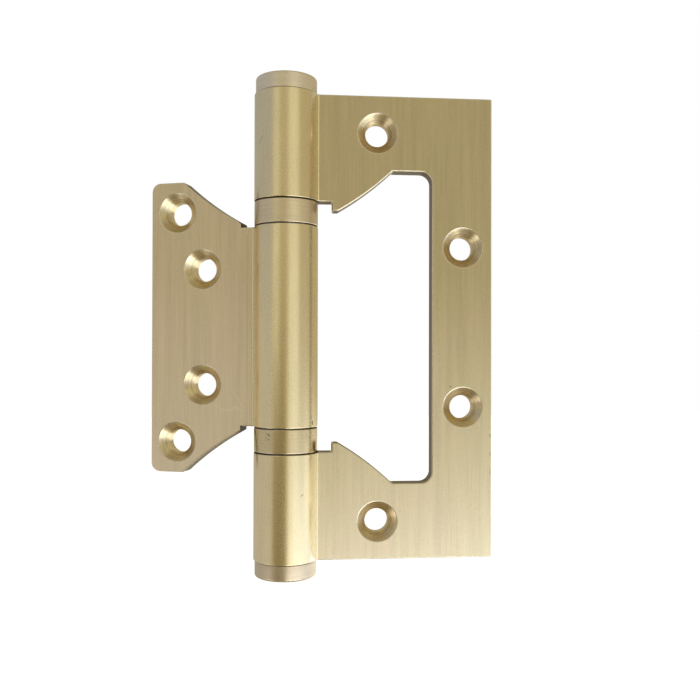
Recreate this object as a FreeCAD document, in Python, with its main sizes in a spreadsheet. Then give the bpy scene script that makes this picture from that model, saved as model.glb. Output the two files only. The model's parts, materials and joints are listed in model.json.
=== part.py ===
import FreeCAD, Part
import math
import os

import Sketcher

# Flush hinge, 4 inch size, in brushed brass: two rolled plate leaves on one pin. The smaller inner
# leaf folds into the window of the outer leaf, so the closed hinge is one plate thick. A ball thrust
# bearing inside a turned collar stands at each end of the middle knuckle.
#
# Each piece is drawn about the pin axis, with its leaf along +X, and is then placed in the hinge's
# frame. The frame's origin is on the outer leaf's mounting face, midway between its two middle screw
# holes. +X runs from the pin to the outer leaf's free edge, +Y out of its mounting face, +Z up.
# Lengths are in millimetres and angles in degrees.

SIZES = {
    "LeafHeight": 101.6,
    "PlateThickness": 4.0,
    "EdgeBreak": 0.25,
    "KnuckleDiameter": 14.0,
    "BoreDiameter": 6.0,
    "RollSeam": 0.25,
    "RollThinning": 0.15,
    "RollTipRound": 0.6,
    "RootFillet": 0.6,
    "MiddleKnuckleLength": 43.7,
    "BearingGap": 5.5,
    "OuterLeafWidth": 45.5,
    "OuterCorner": 0.4,
    "WindowReach": 32.1,
    "WindowHeight": 68.6,
    "WindowCorner": 2.4,
    "HornRadius": 64.0,
    "HornTipHeight": 25.38,
    "HornReach": 23.23,
    "NotchWidth": 3.1,
    "HornTipWidth": 1.2,
    "NestSideClearance": 1.1,
    "NestEndClearance": 1.9,
    "NestCurveClearance": 1.45,
    "NestStepClearance": 0.4,
    "InnerCorner": 2.0,
    "FoldPastFlat": 18.0,
    "ScrewHole": 5.2,
    "Countersink": 9.1,
    "CountersinkAngle": 90.0,
    "EndPairWidth": 20.0,
    "EndPairSpacing": 85.2,
    "MiddlePairInset": 6.5,
    "MiddlePairSpacing": 35.3,
    "InnerEndPairWidth": 24.8,
    "InnerEndPairSpacing": 51.2,
    "InnerMiddlePairWidth": 18.8,
    "InnerMiddlePairSpacing": 25.7,
    "PinClearance": 0.05,
    "PinChamfer": 0.5,
    "CapDiameter": 13.4,
    "CapHeight": 3.5,
    "CapChamfer": 0.4,
    "SpigotLength": 4.2,
    "SpigotClearance": 0.02,
    "SpigotPlay": 0.2,
    "CollarDiameter": 13.9,
    "CollarWall": 0.55,
    "CollarPlay": 0.15,
    "CollarChamfer": 0.2,
    "BallDiameter": 1.8,
    "BallCount": 6,
    "BallClearance": 0.04,
    "RacePlay": 0.05,
    "RaceBoreClearance": 0.08,
    "RaceSeatClearance": 0.02,
    "RaceRunClearance": 0.2,
    "CageThickness": 0.8,
    "CageClearance": 0.1,
    "CagePlay": 0.24,
}

document = FreeCAD.newDocument("flush_hinge")
sheet = document.addObject("Spreadsheet::Sheet", "Sizes")
for row, (alias, number) in enumerate(SIZES.items(), start=1):
    sheet.set("A%d" % row, alias)
    sheet.set("B%d" % row, str(number))
    sheet.setAlias("B%d" % row, alias)
document.recompute()

# Lengths that several pieces share, as expressions on the sheet.
HALF_PLATE = "(Sizes.PlateThickness / 2)"
HALF_HEIGHT = "(Sizes.LeafHeight / 2)"
KNUCKLE_RADIUS = "(Sizes.KnuckleDiameter / 2)"
BORE_RADIUS = "(Sizes.BoreDiameter / 2)"
PIN_RADIUS = "(Sizes.BoreDiameter / 2 - Sizes.PinClearance)"
MIDDLE_END = "(Sizes.MiddleKnuckleLength / 2)"
OUTER_START = "(Sizes.MiddleKnuckleLength / 2 + Sizes.BearingGap)"
BALL_PLANE = "(Sizes.MiddleKnuckleLength / 2 + Sizes.BearingGap / 2)"
WINDOW_TOP = "(Sizes.WindowHeight / 2)"
NOTCH = "({0} + Sizes.NotchWidth)".format(KNUCKLE_RADIUS)
HORN_TIP = "({0} + Sizes.HornTipWidth)".format(NOTCH)
MIDDLE_PAIR_WIDTH = "(Sizes.OuterLeafWidth - Sizes.MiddlePairInset)"
ROOT_REACH = "sqrt(({0} + Sizes.RootFillet) ^ 2 - ({1} + Sizes.RootFillet) ^ 2)".format(
    KNUCKLE_RADIUS, HALF_PLATE)
COLLAR_BORE = "(Sizes.CollarDiameter / 2 - Sizes.CollarWall)"
RACE_BORE = "({0} + Sizes.RaceBoreClearance)".format(PIN_RADIUS)
BALL_PITCH = "(({0} + {1}) / 2)".format(PIN_RADIUS, COLLAR_BORE)
BALL_SPACE = "(Sizes.BallDiameter / 2 + Sizes.BallClearance)"

# The horn curve runs from its tip beside the notch to the window's straight top. Its centre follows
# from these two ends and its radius.
HORN_RUN = "(Sizes.HornReach - {0})".format(HORN_TIP)
HORN_RISE = "({0} - Sizes.HornTipHeight)".format(WINDOW_TOP)
HORN_CHORD = "sqrt({0} ^ 2 + {1} ^ 2)".format(HORN_RUN, HORN_RISE)
HORN_DEPTH = "sqrt(Sizes.HornRadius ^ 2 - {0} ^ 2 / 4)".format(HORN_CHORD)
HORN_CENTRE_ACROSS = "(({0} + Sizes.HornReach) / 2 - {1} * {2} / {3})".format(
    HORN_TIP, HORN_DEPTH, HORN_RISE, HORN_CHORD)
HORN_CENTRE_UP = "((Sizes.HornTipHeight + {0}) / 2 + {1} * {2} / {3})".format(
    WINDOW_TOP, HORN_DEPTH, HORN_RUN, HORN_CHORD)


def value_of(expression):
    """The number that an expression on the sheet's names gives."""
    return float(sheet.evalExpression(expression))


def negative(expression):
    """The expression for the same length below or behind the axis."""
    return "(-1 * {0})".format(expression)


def new_body(label):
    """A PartDesign body whose label is also the name of its STEP file."""
    body = document.addObject("PartDesign::Body", label)
    body.Label = label
    return body


def origin_feature(body, role):
    """One of the body's own origin planes or axes, such as XY_Plane."""
    for feature in body.Origin.OriginFeatures:
        if feature.Role == role:
            return feature
    raise ValueError("no origin feature " + role)


def new_sketch(body, name, plane, lift=None):
    """A sketch on one of the body's origin planes, lifted along its normal by an expression."""
    sketch = body.newObject("Sketcher::SketchObject", name)
    sketch.AttachmentSupport = [(origin_feature(body, plane), "")]
    sketch.MapMode = "FlatFace"
    if lift is not None:
        sketch.setExpression("AttachmentOffset.Base.z", lift)
    return sketch


def tie(sketch, constraint, expression):
    """Adds a constraint and binds it to an expression on the sheet."""
    index = sketch.addConstraint(constraint)
    name = "size_{0}".format(index)
    sketch.renameConstraint(index, name)
    sketch.setExpression("Constraints." + name, expression)


class Arc:
    """An arc of an outline: its radius, its centre and the way it turns, as expressions."""

    def __init__(self, radius, across, up, clockwise=False):
        self.radius = radius
        self.clockwise = clockwise
        self.centre = FreeCAD.Vector(value_of(across), value_of(up), 0)

    def geometry(self, start, end):
        """The arc from start to end, as the sketcher keeps it: counterclockwise."""
        first, last = (end, start) if self.clockwise else (start, end)
        angle_first = math.atan2(first.y - self.centre.y, first.x - self.centre.x)
        angle_last = math.atan2(last.y - self.centre.y, last.x - self.centre.x)
        if angle_last <= angle_first:
            angle_last += 2 * math.pi
        circle = Part.Circle(self.centre, FreeCAD.Vector(0, 0, 1), value_of(self.radius))
        return Part.ArcOfCircle(circle, angle_first, angle_last)


class Corner:
    """A vertex of an outline, as two expressions, and the arc that leaves it, if one does."""

    def __init__(self, across, up, arc=None):
        self.across = across
        self.up = up
        self.arc = arc
        self.point = FreeCAD.Vector(value_of(across), value_of(up), 0)


def draw(sketch, corners):
    """Draws a closed outline of lines and arcs, with every vertex and radius tied to the sheet."""
    runs = []
    for index, corner in enumerate(corners):
        end = corners[(index + 1) % len(corners)].point
        if corner.arc is None:
            geometry = sketch.addGeometry(Part.LineSegment(corner.point, end), False)
            runs.append((geometry, 1, 2))
            continue
        geometry = sketch.addGeometry(corner.arc.geometry(corner.point, end), False)
        runs.append((geometry, 2, 1) if corner.arc.clockwise else (geometry, 1, 2))
    for index, (geometry, _, tail) in enumerate(runs):
        following, head, _ = runs[(index + 1) % len(runs)]
        sketch.addConstraint(Sketcher.Constraint("Coincident", geometry, tail, following, head))
    for corner, (geometry, head, _) in zip(corners, runs):
        across = Sketcher.Constraint("DistanceX", -1, 1, geometry, head, value_of(corner.across))
        tie(sketch, across, corner.across)
        up = Sketcher.Constraint("DistanceY", -1, 1, geometry, head, value_of(corner.up))
        tie(sketch, up, corner.up)
        if corner.arc is not None:
            radius = Sketcher.Constraint("Radius", geometry, value_of(corner.arc.radius))
            tie(sketch, radius, corner.arc.radius)


def draw_circle(sketch, across, up, radius):
    """Draws a circle whose centre and radius are tied to the sheet."""
    centre = FreeCAD.Vector(value_of(across), value_of(up), 0)
    circle = Part.Circle(centre, FreeCAD.Vector(0, 0, 1), value_of(radius))
    geometry = sketch.addGeometry(circle, False)
    tie(sketch, Sketcher.Constraint("DistanceX", -1, 1, geometry, 3, centre.x), across)
    tie(sketch, Sketcher.Constraint("DistanceY", -1, 1, geometry, 3, centre.y), up)
    tie(sketch, Sketcher.Constraint("Radius", geometry, value_of(radius)), radius)


def pad(body, name, sketch, length, midplane=False):
    """Pads a sketch by an expression, to both sides of its plane where midplane is set."""
    feature = body.newObject("PartDesign::Pad", name)
    feature.Profile = sketch
    feature.Midplane = midplane
    feature.setExpression("Length", length)
    return feature


def mirror(body, name, features):
    """Repeats features of a body on the other side of its XY plane."""
    feature = body.newObject("PartDesign::Mirrored", name)
    feature.Originals = features
    feature.MirrorPlane = (origin_feature(body, "XY_Plane"), [""])
    body.Tip = feature
    return feature


def turned_body(label, corners):
    """A body turned about the pin axis, from an outline of distances from the axis and heights."""
    body = new_body(label)
    sketch = new_sketch(body, label + "_profile", "XZ_Plane")
    draw(sketch, corners)
    feature = body.newObject("PartDesign::Revolution", label + "_turning")
    feature.Profile = sketch
    feature.ReferenceAxis = (origin_feature(body, "Z_Axis"), [""])
    feature.Angle = 360
    return body


def place(piece, height):
    """Moves a piece from the pin axis to its place in the hinge's frame."""
    piece.setExpression("Placement.Base.x", negative(MIDDLE_PAIR_WIDTH))
    piece.setExpression("Placement.Base.y", negative(HALF_PLATE))
    piece.setExpression("Placement.Base.z", height)


def turn(piece, axis, angle):
    """Turns a piece about the pin axis or across it, by an expression in degrees."""
    rotation = FreeCAD.Rotation(axis, value_of(angle))
    piece.Placement = FreeCAD.Placement(FreeCAD.Vector(), rotation)
    piece.setExpression("Placement.Rotation.Angle", angle)


def outer_plate_outline():
    """The upper half of the outer leaf: a rectangle with the window for the inner leaf."""
    window_in = "(Sizes.WindowReach - Sizes.WindowCorner)"
    window_up = "({0} - Sizes.WindowCorner)".format(WINDOW_TOP)
    edge_in = "(Sizes.OuterLeafWidth - Sizes.OuterCorner)"
    edge_up = "({0} - Sizes.OuterCorner)".format(HALF_HEIGHT)
    horn = Arc("Sizes.HornRadius", HORN_CENTRE_ACROSS, HORN_CENTRE_UP)
    return [
        Corner(ROOT_REACH, OUTER_START),
        Corner(NOTCH, OUTER_START),
        Corner(NOTCH, "Sizes.HornTipHeight"),
        Corner(HORN_TIP, "Sizes.HornTipHeight", horn),
        Corner("Sizes.HornReach", WINDOW_TOP),
        Corner(window_in, WINDOW_TOP, Arc("Sizes.WindowCorner", window_in, window_up, True)),
        Corner("Sizes.WindowReach", window_up),
        Corner("Sizes.WindowReach", "0"),
        Corner("Sizes.OuterLeafWidth", "0"),
        Corner("Sizes.OuterLeafWidth", edge_up, Arc("Sizes.OuterCorner", edge_in, edge_up)),
        Corner(edge_in, HALF_HEIGHT),
        Corner(ROOT_REACH, HALF_HEIGHT),
    ]


def inner_plate_outline():
    """The upper half of the inner leaf: the window's outline, less the nesting clearances."""
    reach = "(Sizes.WindowReach - Sizes.NestSideClearance)"
    top = "({0} - Sizes.NestEndClearance)".format(WINDOW_TOP)
    step = "({0} - Sizes.NestStepClearance)".format(NOTCH)
    radius = "(Sizes.HornRadius + Sizes.NestCurveClearance)"
    step_up = "({0} - sqrt({1} ^ 2 - ({2} - {3}) ^ 2))".format(
        HORN_CENTRE_UP, radius, step, HORN_CENTRE_ACROSS)
    curve_end = "({0} + sqrt({1} ^ 2 - ({2} - {3}) ^ 2))".format(
        HORN_CENTRE_ACROSS, radius, HORN_CENTRE_UP, top)
    corner_in = "({0} - Sizes.InnerCorner)".format(reach)
    corner_up = "({0} - Sizes.InnerCorner)".format(top)
    horn = Arc(radius, HORN_CENTRE_ACROSS, HORN_CENTRE_UP, True)
    return [
        Corner(ROOT_REACH, "0"),
        Corner(reach, "0"),
        Corner(reach, corner_up, Arc("Sizes.InnerCorner", corner_in, corner_up)),
        Corner(corner_in, top),
        Corner(curve_end, top, horn),
        Corner(step, step_up),
        Corner(step, MIDDLE_END),
        Corner(ROOT_REACH, MIDDLE_END),
    ]


def rolled_outline(front):
    """The knuckle's section: the plate's end rolled round the pin, back to its own mounting side.

    The countersunk side, towards which the roll is smooth, is at -Y where front is -1. The plate
    is drawn a little thinner inside the roll, so the mounting face ends at the roll's root.
    """
    def across_at(radius, up):
        return "sqrt(({0}) ^ 2 - ({1}) ^ 2)".format(radius, up)

    def towards_front(expression):
        return expression if front > 0 else negative(expression)

    def towards_back(expression):
        return negative(expression) if front > 0 else expression

    thinned = "({0} - Sizes.RollThinning)".format(HALF_PLATE)
    seam_far = "({0} + Sizes.RollSeam)".format(HALF_PLATE)
    tip_up = "({0} + Sizes.RollTipRound)".format(seam_far)
    tip_orbit = "({0} - Sizes.RollTipRound)".format(KNUCKLE_RADIUS)
    tip_across = across_at(tip_orbit, tip_up)
    tip_scale = "{0} / {1}".format(KNUCKLE_RADIUS, tip_orbit)
    fillet_up = "({0} + Sizes.RootFillet)".format(HALF_PLATE)
    fillet_scale = "{0} / ({0} + Sizes.RootFillet)".format(KNUCKLE_RADIUS)
    ahead = front < 0
    bore = Arc(BORE_RADIUS, "0", "0", ahead)
    tip = Arc("Sizes.RollTipRound", tip_across, towards_back(tip_up), not ahead)
    barrel = Arc(KNUCKLE_RADIUS, "0", "0", not ahead)
    fillet = Arc("Sizes.RootFillet", ROOT_REACH, towards_front(fillet_up), ahead)
    return [
        Corner(ROOT_REACH, towards_back(HALF_PLATE)),
        Corner(across_at(BORE_RADIUS, thinned), towards_back(thinned), bore),
        Corner(across_at(BORE_RADIUS, seam_far), towards_back(seam_far)),
        Corner(tip_across, towards_back(seam_far), tip),
        Corner("{0} * {1}".format(tip_across, tip_scale),
               towards_back("({0} * {1})".format(tip_up, tip_scale)), barrel),
        Corner("{0} * {1}".format(ROOT_REACH, fillet_scale),
               towards_front("({0} * {1})".format(fillet_up, fillet_scale)), fillet),
        Corner(ROOT_REACH, towards_front(HALF_PLATE)),
    ]


def drill_screw_holes(body, front, pairs):
    """Countersunk holes from the front face, in pairs above and below the middle."""
    sketch = new_sketch(body, body.Label + "_hole_centres", "XZ_Plane",
                        HALF_PLATE if front < 0 else negative(HALF_PLATE))
    for width, spacing in pairs:
        draw_circle(sketch, width, "({0} / 2)".format(spacing), "(Sizes.ScrewHole / 2)")
        draw_circle(sketch, width, "(-1 * {0} / 2)".format(spacing), "(Sizes.ScrewHole / 2)")
    document.recompute()
    hole = body.newObject("PartDesign::Hole", body.Label + "_screw_holes")
    hole.Profile = sketch
    hole.DepthType = "ThroughAll"
    hole.HoleCutType = "Countersink"
    hole.HoleCutCustomValues = True
    hole.Reversed = front > 0
    hole.setExpression("Diameter", "Sizes.ScrewHole")
    hole.setExpression("HoleCutDiameter", "Sizes.Countersink")
    hole.setExpression("HoleCutCountersinkAngle", "Sizes.CountersinkAngle")
    document.recompute()
    return hole


def break_plate_edges(body, pairs):
    """Chamfers the edges of the plate's outline on both faces, but not the holes' rims."""
    base = body.Tip
    shape = base.Shape
    half_plate = value_of(HALF_PLATE)
    start = value_of(ROOT_REACH) + value_of("Sizes.EdgeBreak")
    holes = [(value_of(width), value_of(spacing) / 2) for width, spacing in pairs]
    names = []
    for index, edge in enumerate(shape.Edges, start=1):
        box = edge.BoundBox
        on_face = abs(abs(box.YMin) - half_plate) < 1e-6 and box.YLength < 1e-6
        if not on_face or box.XMax < start:
            continue
        if any(math.hypot(box.Center.x - x, abs(box.Center.z) - z) < half_plate for x, z in holes):
            continue
        names.append("Edge{0}".format(index))
    chamfer = body.newObject("PartDesign::Chamfer", body.Label + "_edge_break")
    chamfer.Base = (base, names)
    chamfer.setExpression("Size", "Sizes.EdgeBreak")
    body.Tip = chamfer
    document.recompute()


def leaf(label, front, plate_outline, knuckle_start, knuckle_end, pairs):
    """A leaf: half of its plate and of its rolled knuckles, mirrored, drilled and edge-broken."""
    body = new_body(label)
    plate_sketch = new_sketch(body, label + "_plate_outline", "XZ_Plane")
    draw(plate_sketch, plate_outline)
    plate = pad(body, label + "_plate", plate_sketch, "Sizes.PlateThickness", midplane=True)
    roll_sketch = new_sketch(body, label + "_roll_section", "XY_Plane", knuckle_start)
    draw(roll_sketch, rolled_outline(front))
    roll_length = "({0} - {1})".format(knuckle_end, knuckle_start)
    knuckle = pad(body, label + "_knuckle", roll_sketch, roll_length)
    document.recompute()
    mirror(body, label + "_lower_half", [plate, knuckle])
    document.recompute()
    drill_screw_holes(body, front, pairs)
    break_plate_edges(body, pairs)
    return body


def hinge_pin():
    """The plain pin between the two caps' spigots, with chamfered ends."""
    end = "({0} - Sizes.SpigotLength - Sizes.SpigotPlay)".format(HALF_HEIGHT)
    shoulder = "({0} - Sizes.PinChamfer)".format(end)
    nose = "({0} - Sizes.PinChamfer)".format(PIN_RADIUS)
    return turned_body("hinge_pin", [
        Corner("0", negative(end)),
        Corner(nose, negative(end)),
        Corner(PIN_RADIUS, negative(shoulder)),
        Corner(PIN_RADIUS, shoulder),
        Corner(nose, end),
        Corner("0", end),
    ])


def cap(label):
    """An end cap: a turned button with a spigot that is pressed into the knuckle."""
    spigot = "({0} - Sizes.SpigotClearance)".format(BORE_RADIUS)
    radius = "(Sizes.CapDiameter / 2)"
    crown = "({0} - Sizes.CapChamfer)".format(radius)
    shoulder = "(Sizes.CapHeight - Sizes.CapChamfer)"
    return turned_body(label, [
        Corner("0", "(-1 * Sizes.SpigotLength)"),
        Corner(spigot, "(-1 * Sizes.SpigotLength)"),
        Corner(spigot, "0"),
        Corner(radius, "0"),
        Corner(radius, shoulder),
        Corner(crown, "Sizes.CapHeight"),
        Corner("0", "Sizes.CapHeight"),
    ])


def collar(label):
    """The turned collar round a bearing, with chamfered outer edges."""
    outer = "(Sizes.CollarDiameter / 2)"
    end = "(Sizes.BearingGap / 2 - Sizes.CollarPlay)"
    rim = "({0} - Sizes.CollarChamfer)".format(outer)
    shoulder = "({0} - Sizes.CollarChamfer)".format(end)
    return turned_body(label, [
        Corner(COLLAR_BORE, negative(end)),
        Corner(rim, negative(end)),
        Corner(outer, negative(shoulder)),
        Corner(outer, shoulder),
        Corner(rim, end),
        Corner(COLLAR_BORE, end),
    ])


def race(label, side, outer_clearance):
    """A bearing race above or below the balls, which run in its right-angled vee groove."""
    outer = "({0} - {1})".format(COLLAR_BORE, outer_clearance)
    back = "(Sizes.BearingGap / 2 - Sizes.RacePlay)"
    face = "(Sizes.CageThickness / 2 + Sizes.CagePlay)"
    root = "({0} * sqrt(2))".format(BALL_SPACE)
    half_groove = "({0} - {1})".format(root, face)

    def level(height):
        return height if side > 0 else negative(height)

    return turned_body(label, [
        Corner(RACE_BORE, level(back)),
        Corner(outer, level(back)),
        Corner(outer, level(face)),
        Corner("({0} + {1})".format(BALL_PITCH, half_groove), level(face)),
        Corner(BALL_PITCH, level(root)),
        Corner("({0} - {1})".format(BALL_PITCH, half_groove), level(face)),
        Corner(RACE_BORE, level(face)),
    ])


def cage(label):
    """The flat ring that spaces the balls, with one round pocket for each."""
    inner = "({0} + Sizes.CageClearance)".format(PIN_RADIUS)
    outer = "({0} - Sizes.CageClearance)".format(COLLAR_BORE)
    half = "(Sizes.CageThickness / 2)"
    body = turned_body(label, [
        Corner(inner, negative(half)),
        Corner(outer, negative(half)),
        Corner(outer, half),
        Corner(inner, half),
    ])
    document.recompute()
    sketch = new_sketch(body, label + "_pocket_outline", "XY_Plane")
    draw_circle(sketch, BALL_PITCH, "0", BALL_SPACE)
    pocket = body.newObject("PartDesign::Pocket", label + "_pocket")
    pocket.Profile = sketch
    pocket.Midplane = True
    pocket.Type = "ThroughAll"
    document.recompute()
    pattern = body.newObject("PartDesign::PolarPattern", label + "_pockets")
    pattern.Originals = [pocket]
    pattern.Axis = (origin_feature(body, "Z_Axis"), [""])
    pattern.Angle = 360
    pattern.setExpression("Occurrences", "Sizes.BallCount")
    body.Tip = pattern
    return body


def ball(label, index, height):
    """One bearing ball, in its pocket of the cage."""
    piece = document.addObject("Part::Sphere", label)
    piece.Label = label
    piece.setExpression("Radius", "Sizes.BallDiameter / 2")
    angle = "({0} * 360 / Sizes.BallCount)".format(index)
    piece.setExpression("Placement.Base.x", "{0} * cos({1} * 1 deg) - {2}".format(
        BALL_PITCH, angle, MIDDLE_PAIR_WIDTH))
    piece.setExpression("Placement.Base.y", "{0} * sin({1} * 1 deg) - {2}".format(
        BALL_PITCH, angle, HALF_PLATE))
    piece.setExpression("Placement.Base.z", height)
    return piece


def bearing(name, height):
    """A ball thrust bearing about its ball plane: the lower race carries the collar."""
    pieces = [
        collar(name + "_collar"),
        race(name + "_upper_race", 1, "Sizes.RaceRunClearance"),
        race(name + "_lower_race", -1, "Sizes.RaceSeatClearance"),
        cage(name + "_cage"),
    ]
    for piece in pieces:
        place(piece, height)
    for index in range(int(value_of("Sizes.BallCount"))):
        pieces.append(ball("{0}_ball_{1}".format(name, index + 1), index, height))
    return pieces


def check(pieces):
    """Stops if any object of the document failed or any piece isn't one valid solid."""
    for item in document.Objects:
        if "Invalid" in item.State or "Error" in item.State:
            raise RuntimeError("{0} failed: {1}".format(item.Name, item.State))
    for piece in pieces:
        shape = piece.Shape
        if shape.isNull() or not shape.isValid() or len(shape.Solids) != 1:
            raise RuntimeError("{0} is not one valid solid".format(piece.Label))


def main():
    """Builds every piece, checks it and writes its STEP file."""
    outer_leaf = leaf("outer_leaf", -1, outer_plate_outline(), OUTER_START, HALF_HEIGHT, [
        ("Sizes.EndPairWidth", "Sizes.EndPairSpacing"),
        (MIDDLE_PAIR_WIDTH, "Sizes.MiddlePairSpacing"),
    ])
    inner_leaf = leaf("inner_leaf", 1, inner_plate_outline(), "0", MIDDLE_END, [
        ("Sizes.InnerEndPairWidth", "Sizes.InnerEndPairSpacing"),
        ("Sizes.InnerMiddlePairWidth", "Sizes.InnerMiddlePairSpacing"),
    ])
    pin = hinge_pin()
    top_cap = cap("top_cap")
    bottom_cap = cap("bottom_cap")
    turn(inner_leaf, FreeCAD.Vector(0, 0, 1), "180 - Sizes.FoldPastFlat")
    turn(bottom_cap, FreeCAD.Vector(1, 0, 0), "180")
    place(outer_leaf, "0")
    place(inner_leaf, "0")
    place(pin, "0")
    place(top_cap, HALF_HEIGHT)
    place(bottom_cap, negative(HALF_HEIGHT))
    pieces = [outer_leaf, inner_leaf, pin, top_cap, bottom_cap]
    pieces += bearing("upper_bearing", BALL_PLANE)
    pieces += bearing("lower_bearing", negative(BALL_PLANE))
    document.recompute()
    check(pieces)
    os.makedirs("parts", exist_ok=True)
    for piece in pieces:
        piece.Shape.exportStep(os.path.join("parts", piece.Label + ".step"))
        print("{0}: {1:.2f} mm3".format(piece.Label, piece.Shape.Volume))


main()
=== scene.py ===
import json
import logging
import math
from dataclasses import dataclass
from enum import IntEnum
from typing import Callable, Optional, Union

import bmesh
import bpy
from mathutils import Matrix, Vector


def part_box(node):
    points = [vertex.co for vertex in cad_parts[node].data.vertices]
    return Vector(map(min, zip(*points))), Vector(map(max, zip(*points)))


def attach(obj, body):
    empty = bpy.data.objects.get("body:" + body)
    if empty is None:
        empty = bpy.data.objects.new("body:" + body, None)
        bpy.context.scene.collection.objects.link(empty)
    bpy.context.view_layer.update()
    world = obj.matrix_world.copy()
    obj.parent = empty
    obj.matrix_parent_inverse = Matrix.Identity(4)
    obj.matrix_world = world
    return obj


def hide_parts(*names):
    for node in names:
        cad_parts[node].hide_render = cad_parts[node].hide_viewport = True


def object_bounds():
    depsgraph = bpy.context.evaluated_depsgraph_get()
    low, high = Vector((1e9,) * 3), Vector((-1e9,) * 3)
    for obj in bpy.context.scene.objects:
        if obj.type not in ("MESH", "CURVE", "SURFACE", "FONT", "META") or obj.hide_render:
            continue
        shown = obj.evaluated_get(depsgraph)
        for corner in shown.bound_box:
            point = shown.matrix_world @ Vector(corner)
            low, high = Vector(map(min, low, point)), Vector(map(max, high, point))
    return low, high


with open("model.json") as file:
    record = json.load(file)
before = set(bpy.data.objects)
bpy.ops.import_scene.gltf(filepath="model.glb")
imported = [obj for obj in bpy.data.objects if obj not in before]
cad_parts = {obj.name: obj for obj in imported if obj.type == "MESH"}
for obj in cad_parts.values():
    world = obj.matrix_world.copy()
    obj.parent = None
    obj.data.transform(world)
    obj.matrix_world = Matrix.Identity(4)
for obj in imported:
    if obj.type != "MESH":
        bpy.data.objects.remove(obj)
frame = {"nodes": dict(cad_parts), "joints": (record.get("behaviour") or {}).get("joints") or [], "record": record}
CAD_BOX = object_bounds()

log = logging.getLogger("flush_hinge")

Socket = bpy.types.NodeSocket
Material = bpy.types.Material
Object = bpy.types.Object
Shape = bmesh.types.BMesh
Value = Union[Socket, float, tuple]

MM = 0.001
# Points closer than this are one point
MERGE = 1e-7
# Edges that turn by more than this are rounded, and those above SMOOTH stay crisp in the shading
SHARP = math.radians(35)
SMOOTH = math.radians(32)
# The profile of a rounded edge that follows a circle, and how far large faces rule the shading
CIRCULAR = 0.5
FACE_WEIGHT = 100
UP = (0.0, 0.0, 1.0)
HOLE_REACH = "hole_reach"
# Largest turn between two points of a curve of the plates, of their corners and of the small ones
CURVE_STEP = 0.6
CORNER_STEP = 9.0
SMALL_STEP = 15.0
# The inner leaf's step lies from and to this far from the pin, above this height; its faces lean
# by no more than this out of the plate
STEP_FROM = 9.2 * MM
STEP_TO = 10.6 * MM
STEP_HEIGHT = 21.6 * MM
STEP_SLOPE = 0.95
# Faces whose normal leans out of the plate by less are walls, along the pin by more are ends, and
# out of the plate by more are flat; rounded edges that lean along the pin by more are greasy
WALL_SLOPE = 0.3
END_SLOPE = 0.9
FLAT_SLOPE = 0.999
GREASY_SLOPE = 0.5
# Octaves of a fine noise and of a soft one, and the parts of a noise in which most of it lies
FINE = 3.0
SOFT = 2.0
MIDDLE = (0.3, 0.7)
CORE = (0.35, 0.65)
# Share of a mark's width that shows it in full, how dark a mark is, and the colour of scratches
MARK_CORE = 0.4
MARK_SHADE = 0.12
SCRATCH_COLOUR = (1.0, 0.92, 0.70, 1.0)


class Slot(IntEnum):
    """The surfaces of a leaf, in the order of its material slots."""

    FACE = 0
    RIM = 1
    CUT = 2
    COUNTERSINK = 3
    SEAT = 4
    ROLL = 5


class Ring(IntEnum):
    """The surfaces of a cap or a collar, in the order of its material slots."""

    TURNED = 0
    SEAT = 1


class Side(IntEnum):
    """The side of the pin on which a leaf lies before it is folded."""

    RIGHT = 1
    LEFT = -1


def mount(name: str) -> dict:
    """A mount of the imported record, by its name."""
    return next(m for m in frame["record"]["mounts"] if m["name"] == name)


def joint(name: str) -> dict:
    """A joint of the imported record, by its name."""
    return next(j for j in frame["joints"] if j["name"] == name)


@dataclass(frozen=True)
class Layout:
    """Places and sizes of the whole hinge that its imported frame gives, in metres."""

    axis: Vector
    plate: float
    half_height: float
    knuckle: float
    outer_width: float
    fold: float

    @classmethod
    def read(cls) -> "Layout":
        """Reads the layout from the boxes of the frame's nodes and from the swing joint.

        Returns:
            The layout, with the pin axis as a point and the fold past flat in radians.
        """
        swing = joint("inner_leaf_swing")
        axis = Vector(swing["pos_m"])
        low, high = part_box("outer_leaf")
        return cls(
            axis=axis,
            plate=-2 * axis.y,
            half_height=high.z,
            knuckle=axis.x - low.x,
            outer_width=high.x - axis.x,
            fold=math.radians(-180 - swing["range_deg"][0]),
        )


class Outline:
    """A path of points in a plane, made of straight runs and of arcs."""

    def __init__(self, across: float, up: float) -> None:
        """Starts the path at a point."""
        self.points = [Vector((across, up))]

    def to(self, across: float, up: float) -> None:
        """Adds a straight run to a point."""
        self.points.append(Vector((across, up)))

    def arc(self, centre: tuple, across: float, up: float, clockwise: bool, step: float) -> None:
        """Adds an arc from the last point.

        Args:
            centre: The arc's centre.
            across: First coordinate of the arc's end.
            up: Second coordinate of the arc's end.
            clockwise: True where the arc turns clockwise.
            step: Largest turn from one point of the arc to the next, in degrees.
        """
        middle = Vector(centre)
        start = self.points[-1] - middle
        end = Vector((across, up)) - middle
        turn = math.atan2(end.y, end.x) - math.atan2(start.y, start.x)
        turn = turn % math.tau - (math.tau if clockwise else 0.0)
        count = max(2, math.ceil(abs(math.degrees(turn)) / step))
        for index in range(1, count + 1):
            turned = Matrix.Rotation(turn * index / count, 2) @ start
            self.points.append(middle + turned)


def vertices_of(result: dict) -> list:
    """The vertices among the geometry that a bmesh operator gives back."""
    return [item for item in result["geom"] if isinstance(item, bmesh.types.BMVert)]


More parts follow.
